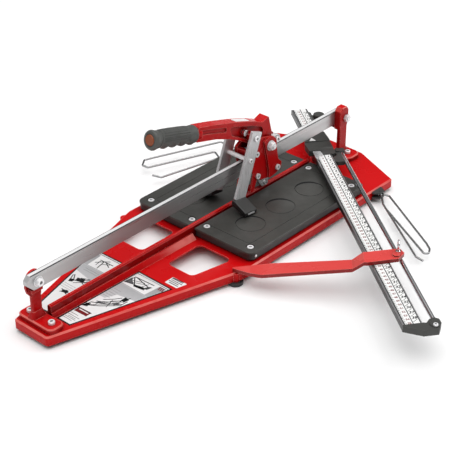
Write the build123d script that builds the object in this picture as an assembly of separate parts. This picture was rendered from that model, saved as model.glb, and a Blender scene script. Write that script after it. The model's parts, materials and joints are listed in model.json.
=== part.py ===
from build123d import *
from math import atan2, cos, degrees, radians, sin, sqrt
import os

# Push-type tile cutter for cuts up to about 63 cm, in millimetres.
# X runs along the cutting line towards the far post, Y across it, Z up from the bench.
# The origin is the middle of the centre foot, on the bench, under the cutting line.

# ---- base -------------------------------------------------------------------------------
NOSE_X = -527.0            # narrow end of the base
WIDE_X = -174.0            # where the base reaches its full width
TAIL_X = 236.0             # where it narrows again
END_X = 282.0              # blunt far end
NOSE_HALF = 38.6
WIDE_HALF = 141.5
END_HALF = 38.0
RIM_Z = 7.4                # lower edge of the folded rim
DECK_Z = 24.0              # top of the deck
DECK_T = 3.0
RIM_T = 3.0
RIM_BEVEL = 2.6

RIB_X0 = -486.0
RIB_X1 = 158.0
RIB_W = 8.0
RIB_Z = 47.0
SPINE_Z = 33.0             # top of the flared spine that carries the rib along the nose

FOOT_R = 13.0
FOOT_H = 7.2

# ---- pads -------------------------------------------------------------------------------
PAD_X = 159.0              # half length
PAD_IN = 6.7               # inner edge to the cutting line
PAD_OUT = 135.0
PAD_Z = 42.0               # top of the rubber
PAD_MAT_T = 4.0
PAD_BOTTOM = 27.0
PAD_SCREW_X = 140.0
PAD_SCREW_Y = (17.6, 117.4)
PAD_SCREW_R = 3.0

# ---- rail and posts ---------------------------------------------------------------------
RAIL_T = 9.7
RAIL_Z0 = 91.0
RAIL_Z1 = 119.2
RAIL_X0 = -528.0
RAIL_X1 = 260.0
RAIL_MID = (RAIL_Z0 + RAIL_Z1) / 2
NEAR_POST_X = -507.0
FAR_POST_X = 248.0
POST_HEAD_R = 15.5
POST_T = 5.0               # thickness of the cheek that the rail is bolted to
FLANGE_T = 9.0
FLANGE_X = 42.0
FLANGE_Y = 84.0
NEAR_FLANGE = (-519.5, -488.5)
POST_SCREWS = ((-503.8, 25.0), (FAR_POST_X, 27.0))
FAR_HEAD = (231.0, 256.0)  # the far post is narrower along the rail
FAR_HEAD_T = 14.0
FAR_COLUMN_T = 7.5

# ---- carriage ---------------------------------------------------------------------------
CHEEK_IN = 12.0
CHEEK_OUT = 18.0
PIVOT = (26.0, 134.0)      # handle pivot, X and Z
ROLLER_W = 8.0
UPPER_R = 8.7
LOWER_R = 7.9
ROLLER_GAP = 0.3
UPPER_Z = RAIL_Z1 + UPPER_R + ROLLER_GAP
LOWER_Z = RAIL_Z0 - LOWER_R - ROLLER_GAP
ROLLERS = {
    "upper_front_roller": (-8.0, UPPER_Z, UPPER_R),
    "upper_rear_roller": (62.0, UPPER_Z, UPPER_R),
    "lower_front_roller": (-4.0, LOWER_Z, LOWER_R),
    "lower_rear_roller": (46.0, LOWER_Z, LOWER_R),
}
AXLE_R = 3.0
RUNNING_GAP = 0.05         # radial clearance of every turning fit
WHEEL = (26.0, 54.4)       # scoring wheel axis, X and Z
WHEEL_R = 7.0
WHEEL_AXLE_R = 1.5

# ---- handle and breaker -----------------------------------------------------------------
HANDLE_HALF = 10.0
WEB_HALF = 5.0
GRIP_END = (-253.0, 246.5)
GRIP_ROOT = (-150.0, 218.5)
GRIP_R = 16.0
TANG_R = 8.0
PLUG_R = 9.3
LEG_PIN = (-19.5, 167.0)   # hinge of the breaker legs, X and Z
LEG_TILT = 21.0
LEG_W = 26.0
LEG_T = 5.0
LEG_IN = {-1: 19.0, 1: 28.0}   # inner faces of the near and far legs, from the middle
LEG_UP = 12.0
LEG_DOWN = 113.0
ROD_DOWN = 41.0
ROD_R = 4.0
SHOE_AT = (-64.5, 44.9)    # middle of the lower edge of the shoes, X and Z
SHOE_TILT = 7.5
SHOE_OUT = 34.0            # how far the shoes reach out from the inner faces of the legs
SHOE_W = 31.0

# ---- measuring bar ----------------------------------------------------------------------
BAR_PIVOT_X = 189.5
BAR_ANGLE = 37.5           # swing of the bar from square, towards the nose
BAR_NEAR = 587.0
BAR_FAR = 154.0
BAR_W = 32.0
BAR_Z0 = 52.0
BAR_Z1 = 63.5             # top of the scale strips
STRIP_T = 0.6
ROD_OFFSET = 37.5
GUIDE_ROD_R = 4.0
GUIDE_ROD_Z = 58.0
GUIDE_ROD_START = 24.0
BLOCK_TOP = 68.0          # top of the saddle over the pivot
PIN_TOP = 65.2

# ---- support arm ------------------------------------------------------------------------
ARM_PIVOT = (-189.0, -137.0)
ARM_ANGLE = -50.0          # direction of the arm on plan, from +X
ARM_PIN_R = 2.5
ARM_T = 6.7
ARM_ROOT_Z = 31.0          # top of the arm over its pivot
ARM_RAMP = (17.0, 183.0)   # start and end of the slope, from the pivot
ARM_JOG_Z = 57.0
ARM_HEAD = 201.0           # where the raised head starts
ARM_HEAD_Z = 70.8
EYE = (-25.5, -337.0)      # clamp screw at the end of the arm

# ---- side supports ----------------------------------------------------------------------
WIRE_R = 2.0
WIRE_Z = 16.0
SLEEVE_R = 5.0
NEAR_WIRE = (185.5, -149.5)
FAR_WIRE = (138.0, 149.5)


# ---- helpers ----------------------------------------------------------------------------
def plan(points, z0, z1, radius=0.0):
    """Upright prism over a plan outline, with its corners rounded."""
    outline = Polygon(*points, align=None)
    if radius > 0:
        outline = fillet(outline.vertices(), radius)
    return Pos(0, 0, z0) * extrude(outline, amount=z1 - z0, dir=(0, 0, 1))


def side(points, y0, y1, radius=0.0):
    """Prism across the cutter over an outline of X and Z points."""
    outline = Polygon(*points, align=None)
    if radius > 0:
        outline = fillet(outline.vertices(), radius)
    return Plane(origin=(0, y1, 0), x_dir=(1, 0, 0), z_dir=(0, -1, 0)) * extrude(outline, amount=y1 - y0, dir=(0, 0, 1))


def across(x, z, r, y0, y1):
    """Round bar along Y."""
    return Pos(x, (y0 + y1) / 2, z) * Rot(90, 0, 0) * Cylinder(r, abs(y1 - y0))


def upright(x, y, r, z0, z1):
    """Round bar along Z."""
    return Pos(x, y, (z0 + z1) / 2) * Cylinder(r, z1 - z0)


def box(x0, x1, y0, y1, z0, z1):
    return Pos((x0 + x1) / 2, (y0 + y1) / 2, (z0 + z1) / 2) * Box(x1 - x0, y1 - y0, z1 - z0)


def mirror_y(points):
    return [(x, -y) for x, y in points]


def hex_head(r, height, socket):
    """Socket cap screw head standing on Z = 0."""
    head = Pos(0, 0, height / 2) * Cylinder(r, height)
    head = chamfer(head.edges().group_by(Axis.Z)[-1], 0.6)
    if socket > 0:
        head -= Pos(0, 0, height - socket) * extrude(RegularPolygon(r * 0.5, 6), amount=socket + 1)
    return head


def cap_screw(shank_r, head_r, head_h, length):
    """Socket cap screw with the underside of its head at Z = 0 and its shank below."""
    return hex_head(head_r, head_h, head_h * 0.6) + Pos(0, 0, -length / 2) * Cylinder(shank_r, length)


# ---- base -------------------------------------------------------------------------------
BASE_OUTLINE = [
    (NOSE_X, -NOSE_HALF), (WIDE_X, -WIDE_HALF), (TAIL_X, -WIDE_HALF), (END_X, -END_HALF),
    (END_X, END_HALF), (TAIL_X, WIDE_HALF), (WIDE_X, WIDE_HALF), (NOSE_X, NOSE_HALF),
]
HOLE_OUTLINE = [(-252, -30), (-171, -30), (-171, -104), (-252, -87)]
FOOT_PLACES = [
    (-468, -28), (-468, 28), (-193.5, -131.5), (-193.5, 131.5), (222, -118), (222, 118),
]


def deck_holes():
    outline = fillet(Polygon(*HOLE_OUTLINE, align=None).vertices(), 10)
    near = extrude(outline, amount=DECK_Z + 5, dir=(0, 0, 1))
    return near + mirror(near, about=Plane.XZ)


def base_plate():
    outline = fillet(Polygon(*BASE_OUTLINE, align=None).vertices(), 7)
    shell = Pos(0, 0, RIM_Z) * extrude(outline, amount=DECK_Z - RIM_Z)
    shell = chamfer(shell.edges().group_by(Axis.Z)[-1], RIM_BEVEL)
    inner = offset(outline, amount=-RIM_T)
    shell -= Pos(0, 0, RIM_Z - 1) * extrude(inner, amount=DECK_Z - DECK_T - RIM_Z + 1)
    shell -= deck_holes()
    spine = loft([
        Plane(origin=(RIB_X0, 0, DECK_Z - 1), x_dir=(0, 1, 0), z_dir=(1, 0, 0)) * spine_section(8.0, 6.0),
        Plane(origin=(-164, 0, DECK_Z - 1), x_dir=(0, 1, 0), z_dir=(1, 0, 0)) * spine_section(16.0, 6.5),
    ], ruled=True)
    shell += spine
    shell -= box(RIB_X0, -163, -RIB_W / 2, RIB_W / 2, DECK_Z, 60)
    shell += upright(*ARM_PIVOT, 5.0, 10.0, DECK_Z)
    for x, y in FOOT_PLACES + [(0, 0)]:
        shell += upright(x, y, 8.0, FOOT_H, DECK_Z - 1)
        shell -= upright(x, y, 2.6, 0, 18.0)
    for x in (-PAD_SCREW_X, PAD_SCREW_X):
        for y in PAD_SCREW_Y:
            for s in (-1, 1):
                shell += upright(x, s * y, 6.0, 14.0, DECK_Z - 1)
                shell -= upright(x, s * y, PAD_SCREW_R, 10, 30)
    for x, y in POST_SCREWS:
        for s in (-1, 1):
            shell += upright(x, s * y, 7.0, 12.0, DECK_Z - 1)
            shell -= upright(x, s * y, 3.0, 10, 30)
    shell -= upright(*ARM_PIVOT, ARM_PIN_R, 11.9, 30)
    shell += upright(BAR_PIVOT_X, 0, 15.0, 9.0, DECK_Z - 1)
    shell -= upright(BAR_PIVOT_X, 0, 5.0, 5, 30)
    return shell


def spine_section(half_bottom, half_top):
    h = SPINE_Z - DECK_Z + 1
    return Polygon((-half_bottom, 0), (half_bottom, 0), (half_top, h), (-half_top, h), align=None)


def breaking_rib():
    section = Polygon((-RIB_W / 2, DECK_Z), (RIB_W / 2, DECK_Z), (RIB_W / 2, RIB_Z - 3), (1.6, RIB_Z),
                      (-1.6, RIB_Z), (-RIB_W / 2, RIB_Z - 3), align=None)
    return Plane(origin=(RIB_X0, 0, 0), x_dir=(0, 1, 0), z_dir=(1, 0, 0)) * extrude(section, amount=RIB_X1 - RIB_X0)


def foot(x, y):
    pad = upright(x, y, FOOT_R, 0, FOOT_H)
    pad = chamfer(pad.edges().group_by(Axis.Z)[0], 1.5)
    return pad + upright(x, y, 2.6, FOOT_H, 17.5)


def rubber_feet():
    return Compound(children=[foot(x, y) for x, y in FOOT_PLACES])


def centre_foot():
    return foot(0, 0)


# ---- pads -------------------------------------------------------------------------------
def pad_outline(grow=0.0):
    points = [(-PAD_X - grow, -PAD_IN + grow), (-PAD_X - grow, -PAD_OUT - grow),
              (PAD_X + grow, -PAD_OUT - grow), (PAD_X + grow, -PAD_IN + grow)]
    sketch = Polygon(*points, align=None)
    outer = sketch.vertices().filter_by_position(Axis.Y, -PAD_OUT - grow - 1, -PAD_OUT - grow + 1)
    return fillet(outer, 12 + grow)


def pad_screw_places(s):
    return [(x, -s * y) for x in (-PAD_SCREW_X, PAD_SCREW_X) for y in PAD_SCREW_Y]


def pad_tray(s):
    """Stiff tray under the rubber: flat top, folded wall, four guide holes."""
    top = PAD_Z - PAD_MAT_T
    tray = Pos(0, 0, PAD_BOTTOM) * extrude(pad_outline(-1.2), amount=top - PAD_BOTTOM)
    inner = offset(pad_outline(-1.2), amount=-2.5)
    tray -= Pos(0, 0, PAD_BOTTOM - 1) * extrude(inner, amount=top - 3 - PAD_BOTTOM + 1)
    for x, y in pad_screw_places(1):
        tray -= upright(x, y, PAD_SCREW_R + 0.5, 20, 60)
    return tray if s > 0 else mirror(tray, about=Plane.XZ)


def pad_mat(s):
    """Rubber facing with a raised border step and recessed screw places."""
    low = PAD_Z - PAD_MAT_T
    mat = Pos(0, 0, low) * extrude(pad_outline(), amount=PAD_MAT_T)
    mat = chamfer(mat.edges().group_by(Axis.Z)[-1], 0.8)
    border = [(-136, -6), (-136, -112.6), (136, -112.6), (136, -6)]
    groove = plan(border, PAD_Z - 0.6, PAD_Z + 1, 8.0)
    groove -= plan([(-134.8, 5), (-134.8, -111.4), (134.8, -111.4), (134.8, 5)], PAD_Z - 1, PAD_Z + 2, 6.8)
    mat -= groove
    for x in (-84.0, -3.5, 78.0):
        ring = upright(x, -69, 26.5, PAD_Z - 0.6, PAD_Z + 1) - upright(x, -69, 25.3, PAD_Z - 1, PAD_Z + 2)
        mat -= ring
    for x, y in pad_screw_places(1):
        mat -= upright(x, y, 7.2, 20, 60)
    return mat if s > 0 else mirror(mat, about=Plane.XZ)


def pad_screw(x, y):
    """Shoulder screw that guides a pad and stops its rise."""
    top = PAD_Z - PAD_MAT_T
    return Pos(x, y, top + 0.3) * cap_screw(PAD_SCREW_R - 0.05, 6.0, 3.2, top - 13.7)


def pad_screws():
    return Compound(children=[pad_screw(x, y) for s in (1, -1) for x, y in pad_screw_places(s)])


def pad_springs(s):
    """Compression springs round the guide screws, between the deck and the tray."""
    z0 = DECK_Z + 0.8
    rise = PAD_Z - PAD_MAT_T - 3 - 0.8 - z0
    helix = Helix(pitch=rise / 4, height=rise, radius=4.9)
    coil = sweep(Plane(origin=helix @ 0, z_dir=helix % 0) * Circle(0.7), path=helix, is_frenet=True)
    return Compound(children=[Pos(x, y, z0) * coil for x, y in pad_screw_places(s)])


# ---- posts and rail ---------------------------------------------------------------------
def post_near():
    """Casting with a flange, a slim column and a round cheek behind the rail."""
    x = NEAR_POST_X
    y0 = RAIL_T / 2
    y1 = y0 + POST_T
    x0, x1 = NEAR_FLANGE
    flange = plan([(x0, -40), (x1, -40), (x1, 40), (x0, 40)], DECK_Z, DECK_Z + FLANGE_T, 10)
    flange = chamfer(flange.edges().group_by(Axis.Z)[-1], 2.0)
    root = Pos(0, 0, DECK_Z + FLANGE_T) * loft([
        Pos(x + 2.5, y0 + 4, 0) * RectangleRounded(28, 18, 6),
        Pos(x + 2.5, y0 + 3, 12) * RectangleRounded(20, 9, 3),
    ], ruled=True)
    column = plan([(x - 7, y0 - 1), (x + 12, y0 - 1), (x + 12, y0 + 7), (x - 7, y0 + 7)],
                  DECK_Z + FLANGE_T, RAIL_Z0 + 2, 2.5)
    column -= box(x - 30, x + 30, -20, y0, RAIL_Z0 - 3, 140)
    head = across(x, RAIL_MID, POST_HEAD_R, y0, y1)
    head += side([(x - 15.5, RAIL_MID), (x - 17.5, RAIL_Z0 + 3), (x - 14.5, 83), (x - 7, 73), (x + 12, 73),
                  (x + 13.5, 84), (x + 15.5, RAIL_MID)], y0, y1)
    head = chamfer(head.edges().group_by(Axis.Y)[-1], 1.2)
    post = flange + root + column + head
    shelf = box(x - 12, x + 10, -3, y0 + 1, RAIL_Z0 - 6, RAIL_Z0 - 0.05)
    post += shelf
    for s in (-1, 1):
        post -= upright(POST_SCREWS[0][0], s * POST_SCREWS[0][1], 3.0, 10, 60)
    return post - across(x, RAIL_MID, 4.0, y0 - 1, y1 + 1)


def post_far():
    """Slimmer casting with its cheek on the other side of the rail."""
    x = FAR_POST_X
    x0, x1 = FAR_HEAD
    face = -RAIL_T / 2
    front = face - FAR_HEAD_T
    flange = plan([(x - 21, -44), (x + 21, -44), (x + 21, 44), (x - 21, 44)], DECK_Z, DECK_Z + FLANGE_T, 15)
    flange = chamfer(flange.edges().group_by(Axis.Z)[-1], 2.0)
    root = Pos(0, 0, DECK_Z + FLANGE_T) * loft([
        Pos(x - 5, front + 8, 0) * RectangleRounded(34, 22, 7),
        Pos(x - 5, front + 4, 13) * RectangleRounded(19, 8, 3),
    ], ruled=True)
    column = side([(x0 + 1, DECK_Z + FLANGE_T), (x1 - 4.5, DECK_Z + FLANGE_T), (x1 - 4.5, 92), (x0 + 1, 92)],
                  front, front + FAR_COLUMN_T)
    head = side([(x0, 87), (x0 + 1, 83), (x1 - 5, 83), (x1, 98), (x1, 121), (x1 - 6, 128.5), (x0 + 6, 128.5),
                 (x0, 121)], front, face, 2.0)
    head = chamfer(head.edges().group_by(Axis.Y)[0], 1.2)
    post = flange + root + column + head
    post += box(x0 + 2, x1 - 6, face - 1, 3, RAIL_Z0 - 6, RAIL_Z0 - 0.05)
    for s in (-1, 1):
        post -= upright(x, s * POST_SCREWS[1][1], 3.0, 10, 60)
    return post - across(x, RAIL_MID, 4.0, front - 1, face + 1)


def guide_rail():
    """Flat steel bar on edge with bevelled long edges and cut corners."""
    cut = 13.0
    body = side([(RAIL_X0, RAIL_Z1 - 8), (RAIL_X0 + 7, RAIL_Z1), (RAIL_X1, RAIL_Z1), (RAIL_X1, RAIL_Z0),
                 (RAIL_X0 + cut, RAIL_Z0), (RAIL_X0, RAIL_Z0 + cut)], -RAIL_T / 2, RAIL_T / 2)
    long_edges = body.edges().filter_by(Axis.X).filter_by(lambda e: e.length > 400)
    body = chamfer(long_edges, 0.9)
    for x in (NEAR_POST_X, FAR_POST_X):
        body -= across(x, RAIL_MID, 4.1, -20, 20)
    return body


def rail_screws():
    """One screw, washer and nut through each post and the rail."""
    screws = []
    for x, s, cheek in ((NEAR_POST_X, 1, POST_T), (FAR_POST_X, -1, FAR_HEAD_T)):
        face = -s * RAIL_T / 2
        back = s * (RAIL_T / 2 + cheek)
        washer = across(x, RAIL_MID, 9.0, face, face - s * 1.6)
        head = Pos(x, face - s * 1.6, RAIL_MID) * Rot(s * 90, 0, 0) * hex_head(6.5, 6.5, 3.5)
        shank = across(x, RAIL_MID, 3.9, face, back + s * 7.5)
        nut = Pos(x, back, RAIL_MID) * Rot(-s * 90, 0, 0) * extrude(RegularPolygon(7.5, 6), amount=6.2)
        screws.append(washer + head + shank + nut)
    return Compound(children=screws)


def post_screws():
    z = DECK_Z + FLANGE_T
    screws = []
    for x, y in POST_SCREWS:
        for s in (-1, 1):
            screws.append(Pos(x, s * y, z + 0.05) * cap_screw(2.9, 5.5, 5.0, z - 13))
    return Compound(children=screws)


# ---- carriage ---------------------------------------------------------------------------
NEAR_CHEEK = [
    (-28, 141), (-12, 151), (8, 155), (30, 150), (42, 142), (45, 118), (49, 98), (58, 89), (57, 77),
    (42, 71), (30, 67), (4, 72), (-2, 84), (-13, 56), (-23, 55), (-15, 90), (-28, 122),
]
FAR_CHEEK = [
    (-28, 141), (-12, 151), (8, 155), (38, 150), (62, 140), (71, 132), (70, 120), (56, 106), (58, 89),
    (57, 77), (42, 71), (30, 67), (4, 72), (-2, 84), (-13, 56), (-23, 55), (-15, 90), (-28, 122),
]
NUT_PLATE = [(10, 146), (22, 151), (34, 149), (42, 141), (45, 118), (49, 98), (58, 89), (57, 77), (42, 71),
             (24, 68), (24, 84), (17, 118)]


def carriage_casting():
    """Ring round the rail: two cheeks, a front block above the rail and a block below it."""
    body = side(NEAR_CHEEK, -CHEEK_OUT + 3, -CHEEK_IN, 2.0)
    body += side(NUT_PLATE, -CHEEK_OUT - 1, -CHEEK_OUT + 3, 2.0)
    body += side(FAR_CHEEK, CHEEK_IN, CHEEK_OUT, 2.0)
    body += box(-27.5, -20, -CHEEK_IN - 1, CHEEK_IN + 1, RAIL_Z1 + 3, 139)
    body += box(8, 34, -CHEEK_IN - 1, CHEEK_IN + 1, 68.5, RAIL_Z0 - 3)
    body += box(-20, -14.5, -CHEEK_IN - 1, CHEEK_IN + 1, 56, 66)
    body -= across(*PIVOT, 5.0, -30, 30)
    for name, (x, z, r) in ROLLERS.items():
        start = 0 if name == "upper_rear_roller" else -30
        body -= across(x, z, AXLE_R, start, 30)
    for x in (15, 27):
        body -= upright(x, 0, 1.7, 60, 95)
    return body


def roller(name):
    """Ball bearing used as a roller, with grooves between its two rings."""
    x, z, r = ROLLERS[name]
    h = ROLLER_W / 2
    ring = across(x, z, r, -h, h) - across(x, z, AXLE_R + RUNNING_GAP, -h - 1, h + 1)
    for s in (-1, 1):
        ring -= across(x, z, r - 2.0, s * (h - 0.7), s * (h + 1)) - across(x, z, AXLE_R + 1.6, -20, 20)
    ring = chamfer(ring.edges().filter_by(GeomType.CIRCLE).sort_by(SortBy.RADIUS)[-2:], 0.4)
    return ring


def roller_axles():
    """Axle screw of each roller with its head on the near cheek, and spacers beside the roller."""
    h = ROLLER_W / 2
    axles = []
    for name, (x, z, r) in ROLLERS.items():
        overhung = name == "upper_rear_roller"
        outer = CHEEK_OUT - 3
        if name == "lower_rear_roller":
            outer = CHEEK_OUT + 1
        first = -h - 0.4 if overhung else -outer
        pin = across(x, z, AXLE_R - 0.02, first, CHEEK_OUT)
        head_y = first - 3.5
        pin += across(x, z, 5.2, head_y, first)
        pin -= Pos(x, head_y + 1, z) * Rot(90, 0, 0) * extrude(RegularPolygon(2.6, 6), amount=3, both=True)
        pin += across(x, z, 4.4, h + 0.4, CHEEK_IN - 0.05)
        if not overhung:
            pin += across(x, z, 4.4, -CHEEK_IN + 0.05, -h - 0.4)
        axles.append(pin)
    return Compound(children=axles)


def wheel_holder():
    """Fork under the lower block that carries the scoring wheel."""
    x, z = WHEEL
    block = side([(8, 68.4), (8, 62), (18, 50), (33, 50), (36, 62), (36, 68.4)], -8.0, 8.0, 1.5)
    block -= box(x - 9, x + 12, -1.6, 1.6, 40, z + WHEEL_R + 2)
    block -= across(x, z, WHEEL_AXLE_R, -20, 20)
    for sx in (15, 27):
        block -= upright(sx, 0, 1.6, 64, 80)
    return block


def wheel_axle():
    x, z = WHEEL
    pin = across(x, z, WHEEL_AXLE_R - 0.02, -8, 8)
    head = across(x, z, 3.6, -10.4, -8) + across(x, z, 3.0, 8, 10.0)
    head -= Pos(x, -10, z) * Rot(90, 0, 0) * extrude(RegularPolygon(1.7, 6), amount=1.4, both=True)
    return pin + head


def holder_screws():
    return Compound(children=[upright(x, 0, 1.55, 64, RAIL_Z0 - 4.0) + upright(x, 0, 3.2, RAIL_Z0 - 3, RAIL_Z0 - 1)
                              + upright(x, 0, 1.55, RAIL_Z0 - 4.0, RAIL_Z0 - 3) for x in (15, 27)])


def cutting_wheel():
    """Carbide scoring wheel with a double bevel to its edge."""
    x, z = WHEEL
    profile = Polygon((WHEEL_AXLE_R + RUNNING_GAP, -1.25), (5.6, -1.25), (WHEEL_R, -0.08), (WHEEL_R, 0.08),
                      (5.6, 1.25), (WHEEL_AXLE_R + RUNNING_GAP, 1.25), align=None)
    wheel = revolve(profile, axis=Axis.Y)
    return Pos(x, 0, z) * wheel


def pivot_bolt():
    """Handle pivot: a shouldered bolt through both cheeks with washer and lock nut."""
    x, z = PIVOT
    near = -CHEEK_OUT - 1
    bolt = across(x, z, 4.9, near, CHEEK_OUT)
    bolt += across(x, z, 9.5, near - 1.8, near)
    nut = Pos(x, near - 1.8, z) * Rot(90, 0, 0) * extrude(RegularPolygon(8.0, 6), amount=6.5)
    nut = chamfer(nut.edges().group_by(Axis.Y)[0], 0.9)
    bolt += nut + across(x, z, 3.6, near - 11, near - 8)
    bolt += Pos(x, CHEEK_OUT, z) * Rot(-90, 0, 0) * hex_head(8.0, 6.0, 3.5)
    return bolt


# ---- handle -----------------------------------------------------------------------------
def unit(a, b):
    d = sqrt((b[0] - a[0]) ** 2 + (b[1] - a[1]) ** 2)
    return ((b[0] - a[0]) / d, (b[1] - a[1]) / d), d


(GRIP_U, GRIP_LEN) = unit(GRIP_END, GRIP_ROOT)
GRIP_SLOPE = degrees(atan2(GRIP_U[1], GRIP_U[0]))


def along_grip(distance):
    """Point on the grip's centreline, measured from its free end."""
    return GRIP_END[0] + GRIP_U[0] * distance, GRIP_END[1] + GRIP_U[1] * distance


def grip_bar(r, d0, d1):
    """Round bar on the grip's centreline."""
    x, z = along_grip((d0 + d1) / 2)
    return Pos(x, 0, z) * Rot(0, 90 - GRIP_SLOPE, 0) * Cylinder(r, d1 - d0)


HANDLE_TOP = [(-148.6, 232.3), (-104.8, 221.3), (-56.5, 207.5), (-12.5, 192.8), (15, 181)]
HANDLE_BACK = [(17, 182), (31, 187), (35, 170), (39.5, 154), (39, 134)]
HANDLE_UNDER = [(36, 125), (26, 121.8), (16, 125), (8, 137), (-22, 152.3), (-44.3, 167), (-68.2, 179.4),
                (-105, 193.8), (-156.0, 207.2)]


def handle_casting():
    """Lever of I section with a raised lip at its head and a round tang inside the grip."""
    outline = HANDLE_TOP + HANDLE_BACK + HANDLE_UNDER
    body = side(outline, -HANDLE_HALF, HANDLE_HALF, 2.5)
    pocket = [(-73, 203), (-56, 199), (-14, 184.5), (12, 173), (16, 166), (14, 152), (6, 147), (-18, 158),
              (-42, 172), (-66, 184)]
    groove = [(-141, 224), (-104, 213.5), (-80, 206), (-80, 197.5), (-104, 204.5), (-141, 216)]
    for s in (-1, 1):
        y_in, y_out = s * WEB_HALF, s * (HANDLE_HALF + 1)
        body -= side(pocket, min(y_in, y_out), max(y_in, y_out), 4.0)
        y_in = s * (HANDLE_HALF - 2.5)
        body -= side(groove, min(y_in, y_out), max(y_in, y_out), 2.5)
        body += across(*LEG_PIN, 9.0, s * WEB_HALF, s * (LEG_IN[s] - 0.35))
    body += grip_bar(12.5, GRIP_LEN - 3, GRIP_LEN + 8)
    body += grip_bar(TANG_R, 12, GRIP_LEN)
    body -= across(*PIVOT, 4.9 + RUNNING_GAP, -30, 30)
    body -= across(*LEG_PIN, 3.0, -30, 30)
    return body


def handle_grip():
    """Rubber sleeve with a collar at each end and finger waves below."""
    sleeve = grip_bar(GRIP_R - 1.2, 0, GRIP_LEN - 3.2)
    sleeve += grip_bar(GRIP_R, GRIP_LEN - 12, GRIP_LEN - 3.2)
    sleeve += grip_bar(GRIP_R + 0.6, 0, 8)
    sleeve -= grip_bar(TANG_R + 0.02, 11.9, GRIP_LEN + 5)
    sleeve -= grip_bar(PLUG_R + 0.1, -1, 4)
    return sleeve


def grip_plug():
    plug = grip_bar(PLUG_R, -1.5, 3.9)
    return chamfer(plug.edges().filter_by(GeomType.CIRCLE).sort_by(Axis.X)[0], 1.0)


def handle_label():
    """Thin plate on top of the lever."""
    (x0, z0), (x1, z1) = HANDLE_TOP[2], HANDLE_TOP[3]
    tilt = degrees(atan2(z0 - z1, x1 - x0))
    plate = box(-19, 19, -6.5, 6.5, 0, 0.3)
    return Pos((x0 + x1) / 2, 0, (z0 + z1) / 2) * Rot(0, tilt, 0) * plate


def leg_pin():
    """Bolt that hangs both breaker legs on the handle."""
    outer = {s: LEG_IN[s] + LEG_T + 0.35 for s in (-1, 1)}
    pin = across(*LEG_PIN, 2.98, -outer[-1], outer[1])
    x, z = LEG_PIN
    for s in (-1, 1):
        pin += Pos(x, s * outer[s], z) * Rot(-s * 90, 0, 0) * hex_head(5.4, 3.6, 2.2)
    return pin


def stop_screw():
    """Adjusting screw through a lug on the near side of the handle."""
    x, z = (-35.0, 180.0)
    return across(x, z, 3.0, -HANDLE_HALF + 1, -WEB_HALF) + across(x, z, 5.6, -14.5, -HANDLE_HALF + 1)


# ---- breaker ----------------------------------------------------------------------------
LEG_FRAME = Pos(LEG_PIN[0], 0, LEG_PIN[1]) * Rot(0, LEG_TILT, 0)


def leg(s):
    """Flat bar that hangs from the handle; its frame has -Z down the leg."""
    y0, y1 = sorted((s * LEG_IN[s], s * (LEG_IN[s] + LEG_T)))
    bar = box(-LEG_W / 2, LEG_W / 2, y0, y1, -LEG_DOWN, LEG_UP)
    ends = bar.edges().filter_by(Axis.Y).group_by(Axis.Z)
    bar = fillet(ends[-1], 2.5)
    bar = fillet(bar.edges().filter_by(Axis.Y).group_by(Axis.Z)[0], 1.5)
    bar -= across(0, 0, 3.0 + RUNNING_GAP, -40, 40)
    bar -= across(0, -ROD_DOWN, 2.5, -40, 40)
    return LEG_FRAME * bar


def cross_rod():
    """Round spacer that holds the two legs apart."""
    rod = across(0, -ROD_DOWN, ROD_R, -LEG_IN[-1], LEG_IN[1])
    for s in (-1, 1):
        y0, y1 = sorted((s * (LEG_IN[s] - 10), s * (LEG_IN[s] + 1)))
        rod -= across(0, -ROD_DOWN, 2.0, y0, y1)
    return LEG_FRAME * rod


def rod_screws():
    screws = []
    for s in (-1, 1):
        outer = s * (LEG_IN[s] + LEG_T)
        pin = across(0, -ROD_DOWN, 1.95, s * (LEG_IN[s] - 9), s * LEG_IN[s])
        pin += across(0, -ROD_DOWN, 2.45, s * LEG_IN[s], outer)
        pin += Pos(0, outer, -ROD_DOWN) * Rot(-s * 90, 0, 0) * hex_head(4.6, 3.2, 2.0)
        screws.append(LEG_FRAME * pin)
    return Compound(children=screws)


def shoe(s):
    """Wing on the end of a leg: it slopes outwards and presses beside the score line."""
    y0 = LEG_IN[s]
    profile = Polygon((y0 + 0.5, 10), (y0 + SHOE_OUT - 6, 0), (y0 + SHOE_OUT, 0), (y0 + SHOE_OUT, 6.5),
                      (y0 + LEG_T + 3, 19), (y0 + 0.5, 20), align=None)
    wing = extrude(Plane(origin=(-SHOE_W / 2, 0, 0), x_dir=(0, 1, 0), z_dir=(1, 0, 0)) * profile, amount=SHOE_W)
    wing = Pos(SHOE_AT[0], 0, SHOE_AT[1]) * Rot(0, SHOE_TILT, 0) * fillet(wing.edges(), 1.2)
    if s < 0:
        wing = mirror(wing, about=Plane.XZ)
    return wing - leg(s)


# ---- measuring bar: X runs out along the bar from its pivot, Y to the rod's side ---------
BAR_FRAME = Pos(BAR_PIVOT_X, 0, 0) * Rot(0, 0, -90 - BAR_ANGLE)
GROOVE_Y = (-12.4, 1.2, 13.0)   # black lines between the strips


def measuring_bar():
    """Extruded bar with a flat top and a hollow underside."""
    top = BAR_Z1 - STRIP_T
    bar = box(-BAR_FAR, BAR_NEAR, -BAR_W / 2, BAR_W / 2, BAR_Z0, top)
    bar = chamfer(bar.edges().filter_by(Axis.X), 0.8)
    for y in GROOVE_Y:
        bar -= box(-BAR_FAR - 1, BAR_NEAR + 1, y - 0.7, y + 0.7, top - 1.0, top + 1)
    bar -= box(-BAR_FAR - 1, BAR_NEAR + 1, -11, 11, BAR_Z0 - 1, BAR_Z0 + 6)
    bar += box(-28, 28, -12, 12, BAR_Z0, BAR_Z0 + 7)
    bar -= upright(0, 0, 5.0 + RUNNING_GAP, 40, 80)
    return BAR_FRAME * bar


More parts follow.
